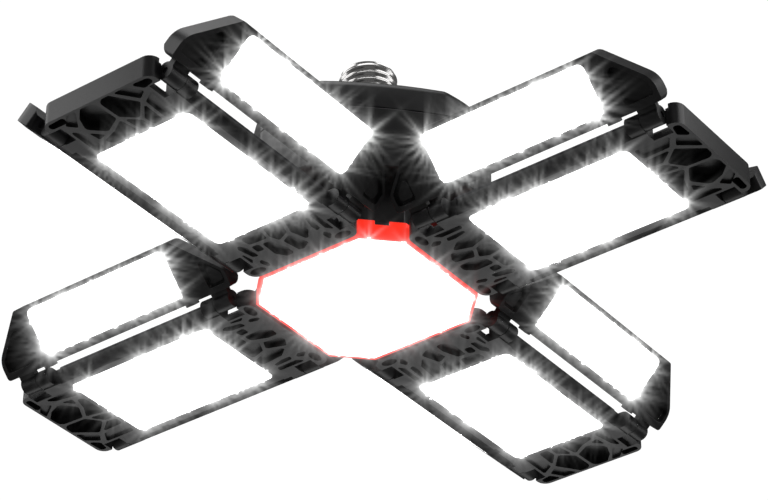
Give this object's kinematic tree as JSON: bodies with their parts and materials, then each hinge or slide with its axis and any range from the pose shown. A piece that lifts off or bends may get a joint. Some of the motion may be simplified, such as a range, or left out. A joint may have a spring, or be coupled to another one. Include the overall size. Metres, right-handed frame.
{
  "type": "deformable garage light",
  "caption": "Screw-in garage ceiling light: driver housing, red-rimmed centre light and fold-down lit arms, each with tilting lit wings.",
  "frame": {"origin": "on the screw base's axis, in the plane of the lit faces of the open arms", "axes": "+Z along the screw base's axis towards its contact; the arms point along +X, +Y, -X and -Y"},
  "size_m": [0.3436, 0.3436, 0.123],
  "materials": {
    "black_plastic": "black moulded plastic, satin",
    "red_plastic": "bright red moulded plastic, glossy",
    "lens": "milky diffuser, lit",
    "led_board": "white solder mask with light chips",
    "heat_sink": "black anodised fins",
    "sink_plain": "plain pressed plate",
    "screw_shell": "nickel-plated rolled thread",
    "contact": "bare contact",
    "insulator": "black insulator",
    "steel": "blackened pins and screws",
    "circuit_board": "green circuit board",
    "components": "wound and moulded parts"
  },
  "bodies": {
    "hub": {"screw_shell": "screw_shell", "centre_contact": "contact", "shell_insulator": "insulator", "neck_collar": "black_plastic", "housing_cap": "black_plastic", "housing_base": "black_plastic", "housing_screws": "steel", "driver_board": "circuit_board", "driver_components": "components", "hub_core": "black_plastic", "centre_heat_sink": "sink_plain", "centre_led_board": "led_board", "centre_lens": "lens", "red_bezel": "red_plastic"},
    "arm_1": {"arm_1_frame": "black_plastic", "arm_1_heat_sink": "heat_sink", "arm_1_led_board": "led_board", "arm_1_lens": "lens", "arm_1_hinge_pins": "steel"},
    "wing_1_left": {"wing_1_left_frame": "black_plastic", "wing_1_left_led_board": "led_board", "wing_1_left_lens": "lens"},
    "wing_1_right": {"wing_1_right_frame": "black_plastic", "wing_1_right_led_board": "led_board", "wing_1_right_lens": "lens"},
    "arm_2": {"arm_2_frame": "black_plastic", "arm_2_heat_sink": "heat_sink", "arm_2_led_board": "led_board", "arm_2_lens": "lens", "arm_2_hinge_pins": "steel"},
    "wing_2_left": {"wing_2_left_frame": "black_plastic", "wing_2_left_led_board": "led_board", "wing_2_left_lens": "lens"},
    "wing_2_right": {"wing_2_right_frame": "black_plastic", "wing_2_right_led_board": "led_board", "wing_2_right_lens": "lens"},
    "arm_3": {"arm_3_frame": "black_plastic", "arm_3_heat_sink": "heat_sink", "arm_3_led_board": "led_board", "arm_3_lens": "lens", "arm_3_hinge_pins": "steel"},
    "wing_3_left": {"wing_3_left_frame": "black_plastic", "wing_3_left_led_board": "led_board", "wing_3_left_lens": "lens"},
    "wing_3_right": {"wing_3_right_frame": "black_plastic", "wing_3_right_led_board": "led_board", "wing_3_right_lens": "lens"},
    "arm_4": {"arm_4_frame": "black_plastic", "arm_4_heat_sink": "heat_sink", "arm_4_led_board": "led_board", "arm_4_lens": "lens", "arm_4_hinge_pins": "steel"},
    "wing_4_left": {"wing_4_left_frame": "black_plastic", "wing_4_left_led_board": "led_board", "wing_4_left_lens": "lens"},
    "wing_4_right": {"wing_4_right_frame": "black_plastic", "wing_4_right_led_board": "led_board", "wing_4_right_lens": "lens"}
  },
  "joints": [
    {"name": "arm_1_fold", "type": "hinge", "parent": "hub", "child": "arm_1", "pos_m": [0.049, 0, 0.0042], "axis": [0, 1, 0], "range_deg": [0, 90]},
    {"name": "wing_1_left_tilt", "type": "hinge", "parent": "arm_1", "child": "wing_1_left", "pos_m": [0.1067, 0.0298, 0.0044], "axis": [1, 0, 0], "range_deg": [-45, 30]},
    {"name": "wing_1_right_tilt", "type": "hinge", "parent": "arm_1", "child": "wing_1_right", "pos_m": [0.1067, -0.0298, 0.0044], "axis": [-1, 0, 0], "range_deg": [-45, 30]},
    {"name": "arm_2_fold", "type": "hinge", "parent": "hub", "child": "arm_2", "pos_m": [0, 0.049, 0.0042], "axis": [-1, 0, 0], "range_deg": [0, 90]},
    {"name": "wing_2_left_tilt", "type": "hinge", "parent": "arm_2", "child": "wing_2_left", "pos_m": [-0.0298, 0.1067, 0.0044], "axis": [0, 1, 0], "range_deg": [-45, 30]},
    {"name": "wing_2_right_tilt", "type": "hinge", "parent": "arm_2", "child": "wing_2_right", "pos_m": [0.0298, 0.1067, 0.0044], "axis": [0, -1, 0], "range_deg": [-45, 30]},
    {"name": "arm_3_fold", "type": "hinge", "parent": "hub", "child": "arm_3", "pos_m": [-0.049, 0, 0.0042], "axis": [0, -1, 0], "range_deg": [0, 90]},
    {"name": "wing_3_left_tilt", "type": "hinge", "parent": "arm_3", "child": "wing_3_left", "pos_m": [-0.1067, -0.0298, 0.0044], "axis": [-1, 0, 0], "range_deg": [-45, 30]},
    {"name": "wing_3_right_tilt", "type": "hinge", "parent": "arm_3", "child": "wing_3_right", "pos_m": [-0.1067, 0.0298, 0.0044], "axis": [1, 0, 0], "range_deg": [-45, 30]},
    {"name": "arm_4_fold", "type": "hinge", "parent": "hub", "child": "arm_4", "pos_m": [0, -0.049, 0.0042], "axis": [1, 0, 0], "range_deg": [0, 90]},
    {"name": "wing_4_left_tilt", "type": "hinge", "parent": "arm_4", "child": "wing_4_left", "pos_m": [0.0298, -0.1067, 0.0044], "axis": [0, -1, 0], "range_deg": [-45, 30]},
    {"name": "wing_4_right_tilt", "type": "hinge", "parent": "arm_4", "child": "wing_4_right", "pos_m": [-0.0298, -0.1067, 0.0044], "axis": [0, 1, 0], "range_deg": [-45, 30]}
  ]
}
